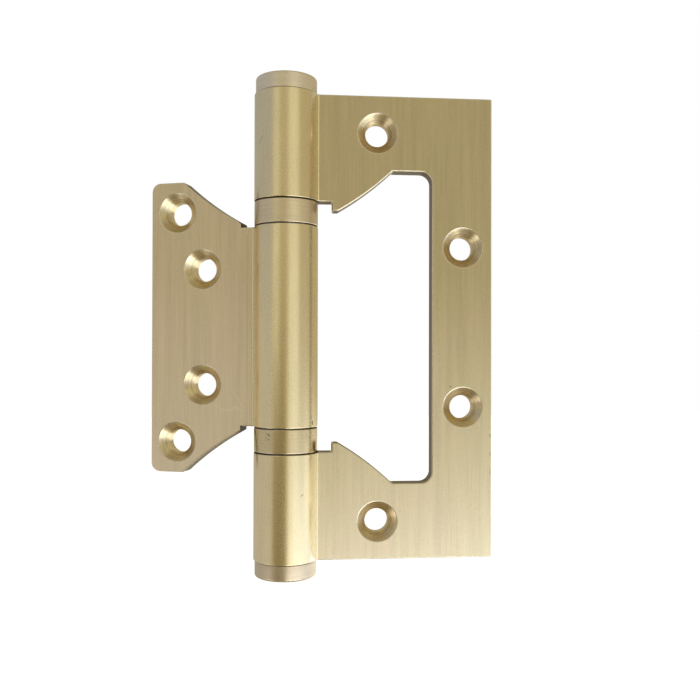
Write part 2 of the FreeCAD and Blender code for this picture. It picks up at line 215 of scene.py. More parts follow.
def extruded_face(shape: Shape, corners: list, move: tuple) -> None:
    """Adds a closed prism to a shape.

    Args:
        shape: The bmesh that takes the prism.
        corners: The corners of its first face.
        move: The way from the first face to the last.
    """
    face = shape.faces.new([shape.verts.new(corner) for corner in corners])
    result = bmesh.ops.extrude_face_region(shape, geom=[face])
    bmesh.ops.translate(shape, vec=move, verts=vertices_of(result))


def delete_faces(shape: Shape, inside: Callable[[Vector], bool]) -> None:
    """Deletes the faces whose vertices all pass a test, and leaves their edges open."""
    doomed = [face for face in shape.faces if all(inside(vertex.co) for vertex in face.verts)]
    bmesh.ops.delete(shape, geom=doomed, context="FACES_ONLY")


def sharp_edges(shape: Shape) -> list:
    """The edges of a shape that are sharp enough to be rounded."""
    return [edge for edge in shape.edges if edge.is_manifold and edge.calc_face_angle() > SHARP]


def round_off(shape: Shape, edges: list, reach: float, segments: int, slide: bool) -> list:
    """Rounds edges of a shape.

    Args:
        shape: The bmesh.
        edges: The edges.
        reach: How far from each edge its rounding starts.
        segments: How many faces lie across the rounding.
        slide: True where the rounding's corners slide along the edges beside them.

    Returns:
        The new faces.
    """
    return bmesh.ops.bevel(shape, geom=edges, offset=reach, offset_type="OFFSET",
                           segments=segments, profile=CIRCULAR, affect="EDGES", material=-1,
                           clamp_overlap=True, loop_slide=slide)["faces"]


def spin(shape: Shape, profile: list, centre: Vector, axis: Vector, steps: int,
         closed: bool) -> None:
    """Adds a body that is turned from a profile, with its poles closed.

    Args:
        shape: The bmesh that takes the body.
        profile: Points of the profile.
        centre: A point of the axis.
        axis: The direction of the axis.
        steps: Number of steps round the axis.
        closed: True where the profile's last point joins its first.
    """
    before = set(shape.faces)
    points = [shape.verts.new(point) for point in profile]
    following = points[1:] + points[:1] if closed else points[1:]
    edges = [shape.edges.new(pair) for pair in zip(points, following)]
    bmesh.ops.spin(shape, geom=points + edges, cent=centre, axis=axis, angle=math.tau,
                   steps=steps, use_merge=True, use_duplicate=False)
    bmesh.ops.remove_doubles(shape, verts=shape.verts[:], dist=MERGE)
    faces = [face for face in shape.faces if face not in before]
    bmesh.ops.recalc_face_normals(shape, faces=faces)


def finished_object(name: str, shape: Shape) -> Object:
    """Turns a bmesh into an object of the scene, at the origin, and frees the bmesh.

    Args:
        name: Name of the object and of its mesh.
        shape: The bmesh.

    Returns:
        The object.
    """
    mesh = bpy.data.meshes.new(name)
    shape.to_mesh(mesh)
    shape.free()
    piece = bpy.data.objects.new(name, mesh)
    bpy.context.scene.collection.objects.link(piece)
    return piece


def cut_away(piece: Object, cutter: Object) -> None:
    """Cuts one object out of another for good, and removes the cutter.

    Args:
        piece: The object that is cut.
        cutter: The body that is taken out of it.
    """
    modifier = piece.modifiers.new("cut", "BOOLEAN")
    modifier.operation = "DIFFERENCE"
    modifier.solver = "EXACT"
    modifier.object = cutter
    graph = bpy.context.evaluated_depsgraph_get()
    mesh = bpy.data.meshes.new_from_object(piece.evaluated_get(graph))
    piece.modifiers.clear()
    old = piece.data
    piece.data = mesh
    mesh.name = piece.name
    bpy.data.meshes.remove(old)
    bpy.data.objects.remove(cutter)


def soften(piece: Object) -> None:
    """Shades a piece smooth, with crisp edges where it turns sharply and flat faces kept flat.

    Args:
        piece: The finished piece.
    """
    for polygon in piece.data.polygons:
        polygon.use_smooth = True
    piece.data.set_sharp_from_angle(angle=SMOOTH)
    modifier = piece.modifiers.new("weighted normals", "WEIGHTED_NORMAL")
    modifier.mode = "FACE_AREA"
    modifier.weight = FACE_WEIGHT
    modifier.keep_sharp = True


class Nodes:
    """A node tree, with short ways to add nodes and to join them."""

    def __init__(self, tree: bpy.types.NodeTree) -> None:
        """Keeps the tree that gets the nodes."""
        self.tree = tree

    def join(self, value: Value, socket: Socket) -> None:
        """Links an output to a socket, or writes a plain value there.

        Args:
            value: The output or the plain value.
            socket: The socket that takes it.
        """
        if isinstance(value, Socket):
            self.tree.links.new(value, socket)
        else:
            socket.default_value = value

    def add(self, kind: str, inputs: Optional[dict] = None, **settings: str) -> bpy.types.Node:
        """Adds a node.

        Args:
            kind: Its type, without ShaderNode.
            inputs: What its sockets take, by their names or numbers.
            **settings: Its own settings.

        Returns:
            The node.
        """
        node = self.tree.nodes.new("ShaderNode" + kind)
        for name, value in settings.items():
            setattr(node, name, value)
        for key, value in (inputs or {}).items():
            self.join(value, node.inputs[key])
        return node

    def math(self, operation: str, *values: Value) -> Socket:
        """The result of a math node."""
        return self.add("Math", dict(enumerate(values)), operation=operation).outputs[0]

    def vector(self, operation: str, *values: Value) -> Socket:
        """The result of a vector math node, which is a number for some operations."""
        node = self.add("VectorMath", dict(enumerate(values)), operation=operation)
        return node.outputs["Value" if operation in ("DOT_PRODUCT", "DISTANCE") else "Vector"]

    def scale(self, vector: Value, share: Value) -> Socket:
        """A vector or a colour times a share."""
        return self.add("VectorMath", {0: vector, "Scale": share}, operation="SCALE").outputs[0]

    def spread(self, value: Value, source: tuple, target: tuple = (0.0, 1.0),
               interpolation: str = "LINEAR") -> Socket:
        """Maps a range of a value to another range, clamped at its ends.

        Args:
            value: The value.
            source: The two ends of its range.
            target: What the ends become.
            interpolation: The way from one end to the other.

        Returns:
            The socket of the mapped value.
        """
        names = ("Value", "From Min", "From Max", "To Min", "To Max")
        inputs = dict(zip(names, (value, *source, *target)))
        return self.add("MapRange", inputs, interpolation_type=interpolation).outputs["Result"]

    def mix(self, share: Value, first: Value, second: Value) -> Socket:
        """A mix of two colours."""
        inputs = {"Factor": share, "A": first, "B": second}
        return self.add("Mix", inputs, data_type="RGBA").outputs["Result"]

    def weighed(self, *pairs: tuple) -> Socket:
        """The sum of several values, each times its weight.

        Args:
            *pairs: Each value with its weight.

        Returns:
            The sum's socket.
        """
        total = 0.0
        for value, weight in pairs:
            total = self.math("MULTIPLY_ADD", value, weight, total)
        return total


class Graph(Nodes):
    """The nodes of a new material, with its principled shader and its object coordinates."""

    def __init__(self, name: str) -> None:
        """Makes the material.

        Args:
            name: Its name.
        """
        self.material = bpy.data.materials.new(name)
        self.material.use_nodes = True
        super().__init__(self.material.node_tree)
        self.shader = self.tree.nodes["Principled BSDF"]
        place = self.add("TexCoord")
        self.coordinates = place.outputs["Object"]
        self.normal = place.outputs["Normal"]

    def noise(self, scale: tuple, detail: float, roughness: float = 0.5) -> Socket:
        """Noise between 0 and 1 on the object coordinates, times a scale along each axis."""
        place = self.add("Mapping", {"Vector": self.coordinates, "Scale": scale})
        return self.noise_at(place.outputs["Vector"], detail, roughness)

    def noise_at(self, vector: Socket, detail: float, roughness: float = 0.5) -> Socket:
        """Noise between 0 and 1 on a vector that carries its own scale."""
        inputs = {"Vector": vector, "Scale": 1.0, "Detail": detail, "Roughness": roughness}
        return self.add("TexNoise", inputs).outputs["Fac"]

    def vary(self, noise: Socket, middle: tuple = MIDDLE) -> Socket:
        """The middle of a noise, where nearly all of it lies, made as wide as from 0 to 1."""
        return self.spread(noise, middle)

    def between(self, share: Socket, start: float, end: float) -> Socket:
        """A number on the way from a start to an end."""
        return self.spread(share, (0.0, 1.0), (start, end))

    def rough(self, share: Socket, middle: float, swing: tuple) -> Socket:
        """A roughness that goes from one end of its swing to the other."""
        return self.between(share, middle + swing[0], middle + swing[1])

    def toned(self, share: Socket, colour: tuple, tones: tuple) -> Socket:
        """A colour on the way from its dark tone to its light tone."""
        return self.mix(share, *(shade(colour, tone) for tone in tones))

    def across(self) -> Socket:
        """The level direction along the surface, square to the pin axis."""
        return self.vector("CROSS_PRODUCT", self.add("NewGeometry").outputs["Normal"], UP)

    def down_slope(self, facing: Vector) -> Socket:
        """The direction down the wall of a cone.

        Args:
            facing: The way in which the cone opens.

        Returns:
            The direction's socket.
        """
        level = self.vector("CROSS_PRODUCT", self.normal, tuple(facing))
        slope = self.vector("CROSS_PRODUCT", self.normal, level)
        return self.add("VectorTransform", {0: slope}, vector_type="VECTOR",
                        convert_from="OBJECT", convert_to="WORLD").outputs[0]

    def brush(self, anisotropy: float, tangent: Socket) -> None:
        """Spreads what the metal mirrors to one side more than to the other."""
        self.shader.inputs["Anisotropic"].default_value = anisotropy
        self.join(tangent, self.shader.inputs["Tangent"])

    def emboss(self, height: Socket, strength: float, depth: float) -> None:
        """Gives the surface its relief."""
        bump = self.add("Bump", {"Strength": strength, "Distance": depth, "Height": height})
        self.join(bump.outputs["Normal"], self.shader.inputs["Normal"])

    def finish(self, colour: Socket, roughness: Socket, metallic: float = 1.0) -> Material:
        """Ends the material.

        Args:
            colour: Its colour.
            roughness: Its roughness.
            metallic: How much of a metal it is.

        Returns:
            The material.
        """
        self.join(colour, self.shader.inputs["Base Color"])
        self.join(roughness, self.shader.inputs["Roughness"])
        self.shader.inputs["Metallic"].default_value = metallic
        return self.material


def shade(colour: tuple, share: float = 1.0) -> tuple:
    """A colour made darker or lighter by a share, with full alpha."""
    return tuple(channel * share for channel in colour) + (1.0,)


def grid(across: float, along: Optional[float] = None) -> tuple:
    """The scale of a pattern by its size square to the pin and along it."""
    return (1 / across, 1 / across, 1 / (along or across))


@dataclass(frozen=True)
class Mark:
    """A scratch, nick or pit: a short line on a piece, in its place in the hinge, in mm."""

    start: tuple
    end: tuple
    width: float
    darkness: float

    def mask(self, graph: Graph) -> Socket:
        """How much of the mark there is at each point, from 0 to its darkness.

        Args:
            graph: The material that shows the mark.

        Returns:
            The mask's socket.
        """
        start = Vector(self.start) * MM
        run = Vector(self.end) * MM - start
        width = self.width * MM
        offset = graph.vector("SUBTRACT", graph.coordinates, tuple(start))
        along = graph.vector("DOT_PRODUCT", offset, tuple(run))
        foot = graph.scale(tuple(run), graph.spread(along, (0.0, run.length_squared)))
        distance = graph.vector("DISTANCE", offset, foot)
        return graph.spread(distance, (width * MARK_CORE, width), (self.darkness, 0.0))


OUTER_PLATE_MARKS = (
    Mark((-2.85, -4.00, -12.95), (-2.63, -4.00, -13.17), 0.16, 0.6),
    Mark((6.25, -4.00, -23.60), (6.25, -4.00, -24.26), 0.22, 0.6),
    Mark((6.25, -4.00, -27.59), (6.25, -4.00, -28.25), 0.22, 0.5),
    Mark((6.25, -4.00, -31.57), (6.25, -4.00, -32.46), 0.22, 0.5),
)
INNER_SCRATCHES = (
    Mark((-54.57, 0.96, -17.28), (-52.98, 0.44, -18.29), 0.22, 0.45),
    Mark((-52.98, 0.44, -18.29), (-51.37, -0.08, -18.39), 0.26, 0.60),
    Mark((-51.37, -0.08, -18.39), (-50.11, -0.49, -17.67), 0.26, 0.60),
    Mark((-50.11, -0.49, -17.67), (-49.00, -0.85, -18.29), 0.26, 0.60),
    Mark((-49.00, -0.85, -18.29), (-47.90, -1.21, -18.57), 0.22, 0.45),
    Mark((-51.08, -0.18, -13.46), (-50.28, -0.44, -14.86), 0.20, 0.35),
    Mark((-49.81, -0.59, -15.16), (-48.54, -1.00, -17.64), 0.20, 0.40),
)
INNER_PLATE_MARKS = (
    Mark((-47.58, -1.32, 20.16), (-47.44, -1.36, -24.83), 0.16, 0.14),
)
OUTER_ROLL_MARKS = (
    Mark((-44.19, -6.70, 40.61), (-44.92, -5.73, 39.23), 0.15, 0.40),
    Mark((-35.79, -8.22, -36.09), (-35.36, -7.98, -35.71), 0.16, 0.55),
)
INNER_ROLL_MARKS = (
    Mark((-33.64, -6.50, -19.37), (-33.64, -6.50, -19.69), 0.20, 0.8),
    Mark((-33.36, -6.15, -20.36), (-33.27, -6.02, -21.02), 0.22, 0.9),
)
COLLAR_MARKS = (
    Mark((-43.01, -7.68, -22.95), (-42.37, -8.08, -23.34), 0.20, 0.6),
    Mark((-42.79, -7.82, -24.00), (-42.58, -7.96, -24.20), 0.18, 0.6),
    Mark((-43.30, -7.45, -23.40), (-43.20, -7.52, -24.40), 0.14, 0.35),
)
TOP_CAP_MARKS = (
    Mark((-36.35, -8.48, 53.86), (-35.92, -8.29, 53.94), 0.16, 0.6),
)
BOTTOM_CAP_MARKS = (
    Mark((-43.99, -6.91, -52.98), (-43.13, -7.65, -52.80), 0.30, 0.35),
)


@dataclass(frozen=True)
class Surface:
    """Colour, roughness and height of a surface, on which marks may lie."""

    colour: Socket
    roughness: Socket
    height: Socket

    def marked(self, graph: Graph, marks: tuple, colour: tuple, rougher: float = 0.3,
               depth: float = 4.0) -> "Surface":
        """The surface with marks on it, the strongest of them at each point.

        Args:
            graph: The material.
            marks: The marks, which may be none.
            colour: Their colour.
            rougher: How much rougher they are.
            depth: How deep they lie in the relief.

        Returns:
            The marked surface.
        """
        if not marks:
            return self
        mask = marks[0].mask(graph)
        for mark in marks[1:]:
            mask = graph.math("MAXIMUM", mask, mark.mask(graph))
        return Surface(graph.mix(mask, self.colour, colour),
                       graph.weighed((mask, rougher), (self.roughness, 1.0)),
                       graph.weighed((mask, -depth), (self.height, 1.0)))


@dataclass(frozen=True)
class BrushedBrass:
    """Satin brass with brush lines along the pin and a few marks, painted paler towards the bottom.

    The tone's shares are those of the lines, the bands and the grain, and their sum lies in the
    tone's range. The relief's shares are those of the lines, the grain and the bands.
    """

    name: str
    colour: tuple
    # Painted light: the colour is mixed towards a paler one towards the bottom, for the light from below
    painted_light_colour: tuple
    painted_light_height: float
    painted_light_from: float = 12 * MM
    tones: tuple = (0.88, 1.09)
    redder: tuple = (1.02, 0.97, 1.04)
    tone_shares: tuple = (1.0, 1.0, 0.7)
    tone_range: tuple = (0.15, 2.55)
    roughness: float = 0.44
    swing: tuple = (0.03, -0.03)
    anisotropy: float = 0.75
    line_width: float = 0.25 * MM
    line_length: float = 14 * MM
    band_width: float = 1.5625 * MM
    band_length: float = 35 * MM
    grain: float = 0.35 * MM
    stain: float = 14 * MM
    stained: tuple = (0.42, 0.62)
    stains: float = 0.5
    relief: tuple = (0.5, 0.026 * MM)
    relief_shares: tuple = (1.0, 0.5, 1.5)
    marks: tuple = ()
    scratches: tuple = ()

    def build(self) -> Material:
        """Makes colour, roughness and relief from brush lines, grain and stains.

        Returns:
            The material.
        """
        graph = Graph(self.name)
        lines = graph.noise(grid(self.line_width, self.line_length), FINE)
        bands = graph.noise(grid(self.band_width, self.band_length), SOFT)
        grain = graph.noise(grid(self.grain), SOFT)
        stain = graph.noise(grid(self.stain), SOFT)
        varied = map(graph.vary, (lines, bands, grain))
        share = graph.spread(graph.weighed(*zip(varied, self.tone_shares)), self.tone_range)
        # Painted light: paler towards the bottom, where the light from below falls on the plate
        up = graph.vector("DOT_PRODUCT", graph.coordinates, UP)
        pale = graph.spread(up, (self.painted_light_height, self.painted_light_from), (1.0, 0.0))
        base = graph.mix(pale, shade(self.colour), shade(self.painted_light_colour))
        base = graph.scale(base, graph.between(share, *self.tones))
        redder = graph.vector("MULTIPLY", base, self.redder)
        base = graph.mix(graph.spread(stain, self.stained, (0.0, self.stains)), base, redder)
        rough = graph.rough(share, self.roughness, self.swing)
        height = graph.weighed(*zip((lines, grain, bands), self.relief_shares))
        surface = Surface(base, rough, height)
        surface = surface.marked(graph, self.scratches, SCRATCH_COLOUR, rougher=0.0, depth=0.0)
        surface = surface.marked(graph, self.marks, shade(self.colour, MARK_SHADE))
        graph.brush(self.anisotropy, graph.across())
        graph.emboss(surface.height, *self.relief)
        return graph.finish(surface.colour, surface.roughness)


@dataclass(frozen=True)
class RolledBrass:
    """The rolled knuckles: satin brass, fine pebbled grain, faint upright lines, painted highlight.

    The tone's shares are those of the grain, the lines and the clouds, and the relief's shares
    are those of the lines and the grain.
    """

    name: str
    plate_way: Vector
    colour: tuple = (0.87, 0.72, 0.41)
    # Painted highlight: the side of the knuckle that faces its plate is mixed towards this pale colour
    painted_highlight_colour: tuple = (1.0, 0.94, 0.76)
    painted_highlight_facing: tuple = (0.72, 0.90)
    tones: tuple = (0.90, 1.08)
    tone_shares: tuple = (0.5, 0.25, 0.25)
    roughness: float = 0.25
    swing: tuple = (0.06, -0.05)
    grain: float = 0.22 * MM
    grain_length: float = 0.22 / 0.6 * MM
    line_length: float = 0.22 / 0.03 * MM
    cloud: float = 3.0 * MM
    cloud_length: float = 7.5 * MM
    relief: tuple = (0.4, 0.012 * MM)
    relief_shares: tuple = (0.7, 1.0)
    marks: tuple = ()

    def build(self) -> Material:
        """Makes colour, roughness and relief from grain, lines and clouds.

        Returns:
            The material.
        """
        graph = Graph(self.name)
        grain = graph.noise(grid(self.grain, self.grain_length), FINE, 0.6)
        lines = graph.noise(grid(self.grain, self.line_length), SOFT)
        cloud = graph.noise(grid(self.cloud, self.cloud_length), FINE)
        varied = (graph.vary(grain), graph.vary(lines), graph.vary(cloud, CORE))
        tone = graph.weighed(*zip(varied, self.tone_shares))
        # Painted highlight: faces that look the way the plate points are mixed towards a pale colour
        towards = graph.vector("DOT_PRODUCT", graph.normal, tuple(self.plate_way))
        base = graph.mix(graph.spread(towards, self.painted_highlight_facing), shade(self.colour),
                         shade(self.painted_highlight_colour))
        base = graph.scale(base, graph.between(tone, *self.tones))
        rough = graph.rough(tone, self.roughness, self.swing)
        height = graph.weighed(*zip((lines, grain), self.relief_shares))
        surface = Surface(base, rough, height)
        surface = surface.marked(graph, self.marks, shade(self.colour, MARK_SHADE))
        graph.emboss(surface.height, *self.relief)
        return graph.finish(surface.colour, surface.roughness)


@dataclass(frozen=True)
class TurnedBrass:
    """Brass as the lathe left it, with fine lines round the pin axis.

    The relief's shares are those of the blotches and the lines.
    """

    name: str
    colour: tuple
    roughness: float = 0.42
    swing: tuple = (0.05, -0.04)
    tones: tuple = (0.93, 1.05)
    line_width: float = 0.22 * MM
    line_length: float = 6 * MM
    stains: float = 0.35
    stain_shade: float = 0.62
    stain_size: float = 0.7 * MM
    stained: tuple = (0.58, 0.72)
    relief: tuple = (0.35, 0.012 * MM)
    relief_shares: tuple = (0.5, 1.0)
    mark_shade: float = 0.10
    marks: tuple = ()

    def build(self) -> Material:
        """Makes turning lines, which are narrow along the axis, and blotches.

        Returns:
            The material.
        """
        graph = Graph(self.name)
        lines = graph.noise(grid(self.line_length, self.line_width), FINE)
        blotch = graph.noise(grid(self.stain_size), FINE, 0.6)
        share = graph.vary(lines)
        base = graph.toned(share, self.colour, self.tones)
        base = graph.mix(graph.spread(blotch, self.stained, (0.0, self.stains)), base,
                         shade(self.colour, self.stain_shade))
        rough = graph.rough(share, self.roughness, self.swing)
        height = graph.weighed(*zip((blotch, lines), self.relief_shares))
        surface = Surface(base, rough, height)
        dark = shade(self.colour, self.mark_shade)
        surface = surface.marked(graph, self.marks, dark, rougher=0.0)
        graph.emboss(surface.height, *self.relief)
        return graph.finish(surface.colour, surface.roughness)


@dataclass(frozen=True)
class BareBrass:
    """Brass without brushing, with a fine grain: burnished rims and sheared walls."""

    name: str
    colour: tuple
    roughness: float
    grain: float
    depth: float
    octave: float = 0.55
    middle: tuple = MIDDLE
    tones: tuple = (0.88, 1.06)
    swing: tuple = (0.05, -0.05)
    strength: float = 0.3
    metallic: float = 1.0

    def build(self) -> Material:
        """Makes an even surface with grain in its tone, roughness and relief.

        Returns:
            The material.
        """
        graph = Graph(self.name)
        grain = graph.noise(grid(self.grain), FINE, self.octave)
        share = graph.vary(grain, self.middle)
        graph.emboss(grain, self.strength, self.depth)
        return graph.finish(graph.toned(share, self.colour, self.tones),
                            graph.rough(share, self.roughness, self.swing), self.metallic)


@dataclass(frozen=True)
class SeatGrime(BareBrass):
    """Brass that rubs on its neighbours, dark with old grease that is thicker in places."""

    colour: tuple = (0.085, 0.062, 0.035)
    roughness: float = 0.62
    grain: float = 0.25 * MM
    depth: float = 0.01 * MM
    octave: float = 0.6
    middle: tuple = CORE
    tones: tuple = (0.6, 1.6)
    swing: tuple = (0.0, -0.12)
    metallic: float = 0.35


@dataclass(frozen=True)
class ReamedBrass:
    """Countersinks as the cutter left them: fine rings that spread light along the slope.

    The tone's shares are those of the rings and the grain.
    """

    name: str
    facing: Vector
    colour: tuple = (0.74, 0.60, 0.34)
    tones: tuple = (0.56, 1.26)
    tone_shares: tuple = (0.6, 0.4)
    roughness: float = 0.29
    swing: tuple = (0.04, -0.04)
    anisotropy: float = 0.5
    ring: float = 0.30 * MM
    grain: float = 2.5 * MM
    relief: tuple = (0.8, 0.05 * MM)

    def build(self) -> Material:
        """Makes rings from the distance to the hole's axis, and a soft grain.

        Returns:
            The material.
        """
        graph = Graph(self.name)
        reach = graph.add("Attribute", attribute_name=HOLE_REACH).outputs["Fac"]
        place = graph.add("CombineXYZ", {"X": graph.math("MULTIPLY", reach, 1 / self.ring)})
        rings = graph.noise_at(place.outputs["Vector"], SOFT)
        grain = graph.noise(grid(self.grain), SOFT)
        varied = (graph.vary(rings), graph.vary(grain, CORE))
        tone = graph.weighed(*zip(varied, self.tone_shares))
        graph.emboss(rings, *self.relief)
        graph.brush(self.anisotropy, graph.down_slope(self.facing))
        return graph.finish(graph.toned(tone, self.colour, self.tones),
                            graph.rough(tone, self.roughness, self.swing))


@dataclass(frozen=True)
class Steel:
    """Ground or polished steel of the parts inside the knuckles, with fine grinding lines."""

    name: str
    tone: float
    roughness: float
    blue: float = 1.03
    tones: tuple = (0.9, 1.05)
    swing: tuple = (0.04, 0.0)
    scale: tuple = (400.0, 400.0, 6000.0)

    def build(self) -> Material:
        """Makes a grey metal.

        Returns:
            The material.
        """
        graph = Graph(self.name)
        share = graph.vary(graph.noise(self.scale, SOFT))
        grey = (self.tone, self.tone, self.tone * self.blue)
        return graph.finish(graph.toned(share, grey, self.tones),
                            graph.rough(share, self.roughness, self.swing))


@dataclass
class Knuckle:
    """The rolled end of a plate, as a section round the pin and a stretch of its height."""

    radius: float
    plate: float
    start: float
    end: float
    bore: float = 3.0 * MM
    seam: float = 0.25 * MM
    thinning: float = 0.15 * MM
    tip_round: float = 0.6 * MM
    root_fillet: float = 0.6 * MM
    step: float = 3.0
    fillet_step: float = 6.0
    tip_step: float = 15.0

    @property
    def root(self) -> float:
        """Where the fillet runs out into the plate.

        Returns:
            The distance from the pin.
        """
        reach = self.radius + self.root_fillet
        rise = self.plate / 2 + self.root_fillet
        return math.sqrt(reach ** 2 - rise ** 2)

    def section(self) -> list:
        """The section's outline, from the mounting side round the roll to the front side.

        Returns:
            Points across and out of the mounting face, with the pin at the origin.
        """
        half = self.plate / 2
        thin = half - self.thinning
        far = half + self.seam
        tip_up = far + self.tip_round
        orbit = self.radius - self.tip_round
        tip_in = math.sqrt(orbit ** 2 - tip_up ** 2)
        grow = self.radius / orbit
        rise = half + self.root_fillet
        shrink = self.radius / (self.radius + self.root_fillet)
        path = Outline(self.root, half)
        path.to(math.sqrt(self.bore ** 2 - thin ** 2), thin)
        path.arc((0, 0), math.sqrt(self.bore ** 2 - far ** 2), far, True, self.step)
        path.to(tip_in, far)
        path.arc((tip_in, tip_up), tip_in * grow, tip_up * grow, False, self.tip_step)
        path.arc((0, 0), self.root * shrink, -rise * shrink, False, self.step)
        path.arc((self.root, -rise), self.root, -half, True, self.fillet_step)
        return path.points

    def add(self, shape: Shape, side: int) -> None:
        """Adds the knuckle to a leaf's bmesh, on the given side of the pin."""
        corners = [(side * across, out, self.start) for across, out in self.section()]
        extruded_face(shape, corners, (0, 0, self.end - self.start))


@dataclass
class ScrewHoles:
    """A leaf's countersunk holes, as places across from the pin and up."""

    places: list
    radius: float
    rim: float = 4.33 * MM
    lip: float = 0.22 * MM
    lip_fall: float = 0.45
    back_chamfer: float = 0.12 * MM
    margin: float = 0.1 * MM
    overshoot: float = 1.0 * MM
    steps: int = 72

    def cutter(self, name: str, side: int, plate: float) -> Object:
        """The body that cuts every hole of a leaf.

        Args:
            name: Name of the leaf.
            side: Side of the pin, 1 or -1.
            plate: Thickness of the plate.

        Returns:
            The cutter, in the leaf's own place before it is folded.
        """
        shape = bmesh.new()
        front = -plate / 2
        back = plate / 2
        sink = self.rim - self.radius
        slope = self.lip * self.lip_fall
        chamfer = back - self.back_chamfer
        over = self.overshoot
        profile = [
            (0.0, front - over), (self.rim + self.lip + over, front - over * self.lip_fall),
            (self.rim, front + slope), (self.radius, front + sink + slope),
            (self.radius, chamfer), (self.radius + over, chamfer + over), (0.0, back + over),
        ]
        for across, up in self.places:
            centre = Vector((side * across, 0, up))
            points = [(centre.x + reach, depth, up) for reach, depth in profile]
            spin(shape, points, centre, Vector((0, 1, 0)), self.steps, False)
        return finished_object(name + "_cutter", shape)

    def reach(self, side: int, point: Vector) -> float:
        """Distance from a point to the axis of the nearest hole."""
        return min(math.hypot(point.x - side * across, point.z - up)
                   for across, up in self.places)

    def near(self, side: int, point: Vector) -> bool:
        """True where a point lies inside the rim of one of the holes."""
        return self.reach(side, point) < self.rim + self.lip + self.margin


@dataclass
class Leaf:
    """A leaf of the hinge: its plate, its knuckles and its countersunk holes.

    Its name is also its node's and its body's. The outline is the upper half of its plate, across
    from the pin and up, and the knuckle is the one above the middle.
    """

    name: str
    layout: Layout
    side: Side
    knuckle: Knuckle
    outline: Outline
    holes: ScrewHoles
    edge_round: float = 0.25 * MM
    edge_segments: int = 3
    bore_margin: float = 0.3 * MM

    def build(self) -> Object:
        """Models the leaf about the pin axis, and cuts its holes.

        Returns:
            The leaf, not yet in its place, with the index of its surface on each face.
        """
        shape = bmesh.new()
        plate = self.layout.plate
        corners = [(self.side * across, -plate / 2, up) for across, up in self.outline.points]
        extruded_face(shape, corners, (0, plate, 0))
        self.knuckle.add(shape, self.side)
        root = self.knuckle.root
        delete_faces(shape, lambda place: abs(abs(place.x) - root) < MERGE)
        delete_faces(shape, lambda place: abs(place.z) < MERGE)
        bmesh.ops.remove_doubles(shape, verts=shape.verts[:], dist=MERGE)
        everything = shape.verts[:] + shape.edges[:] + shape.faces[:]
        bmesh.ops.mirror(shape, geom=everything, matrix=Matrix.Identity(4), merge_dist=MERGE,
                         axis="Z")
        bmesh.ops.recalc_face_normals(shape, faces=shape.faces[:])
        for face in shape.faces:
            face.material_index = self._surface(face)
        self._round_edges(shape)
        piece = finished_object(self.name + "_brushed", shape)
        cut_away(piece, self.holes.cutter(self.name, self.side, plate))
        self._mark_holes(piece)
        return piece

    def _on_step(self, face: bmesh.types.BMFace) -> bool:
        """Tells whether a face lies on the inner leaf's step, black with grease and painted shade.

        Args:
            face: A face of the leaf before it is folded.

        Returns:
            True for the step's wall and its rounded edges.
        """
        middle = face.calc_center_median()
        return (self.side is Side.LEFT and abs(face.normal.y) <= STEP_SLOPE
                and STEP_FROM < abs(middle.x) < STEP_TO and abs(middle.z) > STEP_HEIGHT)

    def _surface(self, face: bmesh.types.BMFace) -> Slot:
        """Tells sheared walls and the ends of the roll from the rest.

        Args:
            face: A face of the leaf before its edges are rounded.

        Returns:
            The kind of surface.
        """
        # The step gets the dark grease finish, which also stands for painted shade in the step
        if self._on_step(face):
            return Slot.SEAT
        if abs(face.calc_center_median().x) > self.knuckle.root:
            return Slot.CUT if abs(face.normal.y) < WALL_SLOPE else Slot.FACE
        return Slot.SEAT if abs(face.normal.z) > END_SLOPE else Slot.ROLL

    def _round_edges(self, shape: Shape) -> None:
        """Rounds the plate's outline and the knuckles' ends, but nothing inside the bore.

        Args:
            shape: The whole leaf without its holes.
        """
        clear = self.knuckle.bore + self.bore_margin
        edges = [edge for edge in sharp_edges(shape)
                 if all(math.hypot(vertex.co.x, vertex.co.y) > clear for vertex in edge.verts)]
        for face in round_off(shape, edges, self.edge_round, self.edge_segments, True):
            if self._on_step(face):
                face.material_index = Slot.SEAT
            elif abs(face.calc_center_median().x) > self.knuckle.root:
                face.material_index = Slot.RIM
            else:
                greasy = abs(face.normal.z) > GREASY_SLOPE
                face.material_index = Slot.SEAT if greasy else Slot.ROLL

    def _mark_holes(self, piece: Object) -> None:
        """Marks the faces inside the holes' rims, and writes how far each point is from a hole.

        Args:
            piece: The leaf with its holes.
        """
        for polygon in piece.data.polygons:
            sloping = abs(polygon.normal.y) < FLAT_SLOPE
            if sloping and self.holes.near(self.side, polygon.center):
                lip = self.holes.reach(self.side, polygon.center) > self.holes.rim
                polygon.material_index = Slot.RIM if lip else Slot.COUNTERSINK
        reach = piece.data.attributes.new(HOLE_REACH, "FLOAT", "POINT")
        for vertex, value in zip(piece.data.vertices, reach.data):
            value.value = self.holes.reach(self.side, vertex.co)

    def place(self, piece: Object, turn: float) -> None:
        """Turns the leaf about the pin and moves it to its place in the hinge."""
        turned = Matrix.Rotation(turn, 4, "Z")
        piece.data.transform(Matrix.Translation(self.layout.axis) @ turned)

    def seat(self, piece: Object, finishes: tuple) -> None:
        """Dresses the leaf and lets it stand for its node.

        Args:
            piece: The leaf in its place.
            finishes: Its materials, in the order of Slot.
        """
        for material in finishes:
            piece.data.materials.append(material)
        soften(piece)
        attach(piece, self.name)
        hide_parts(self.name)


